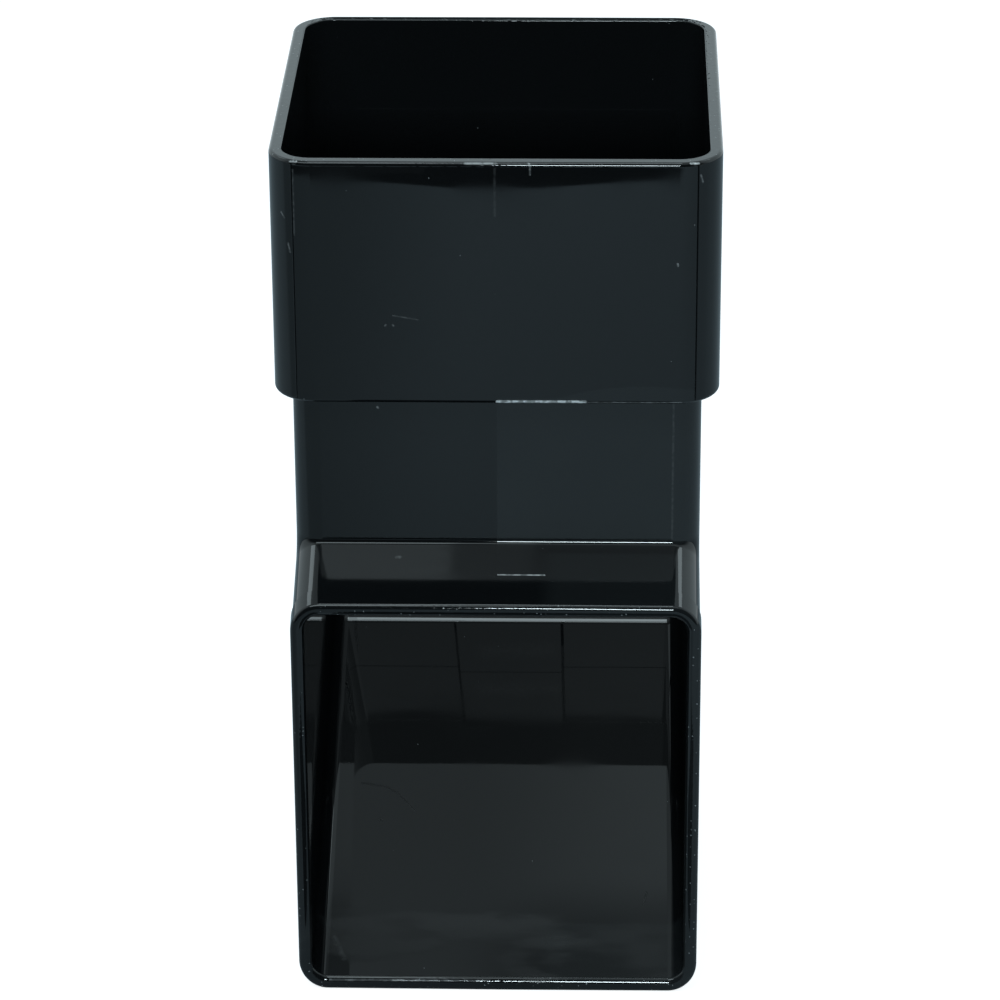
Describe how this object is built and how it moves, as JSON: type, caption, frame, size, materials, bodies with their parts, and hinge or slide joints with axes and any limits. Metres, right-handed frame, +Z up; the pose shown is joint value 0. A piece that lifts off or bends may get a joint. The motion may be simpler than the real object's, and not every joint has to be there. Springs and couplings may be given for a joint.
{
  "type": "downpipe shoe",
  "caption": "Square downpipe shoe moulded in one piece: a socket for the pipe's end, a short body and a mitred outlet that throws rainwater forward.",
  "frame": {"origin": "middle of the pipe's seat, the ledge inside the socket where the pipe's end stops", "axes": "+Z up the pipe, -Y the way the outlet throws the water, +X across"},
  "size_m": [0.07, 0.0802, 0.1403],
  "materials": {
    "black_upvc": "gloss moulded black plastic"
  },
  "bodies": {
    "root": {"downpipe_shoe": "black_upvc"}
  },
  "joints": []
}
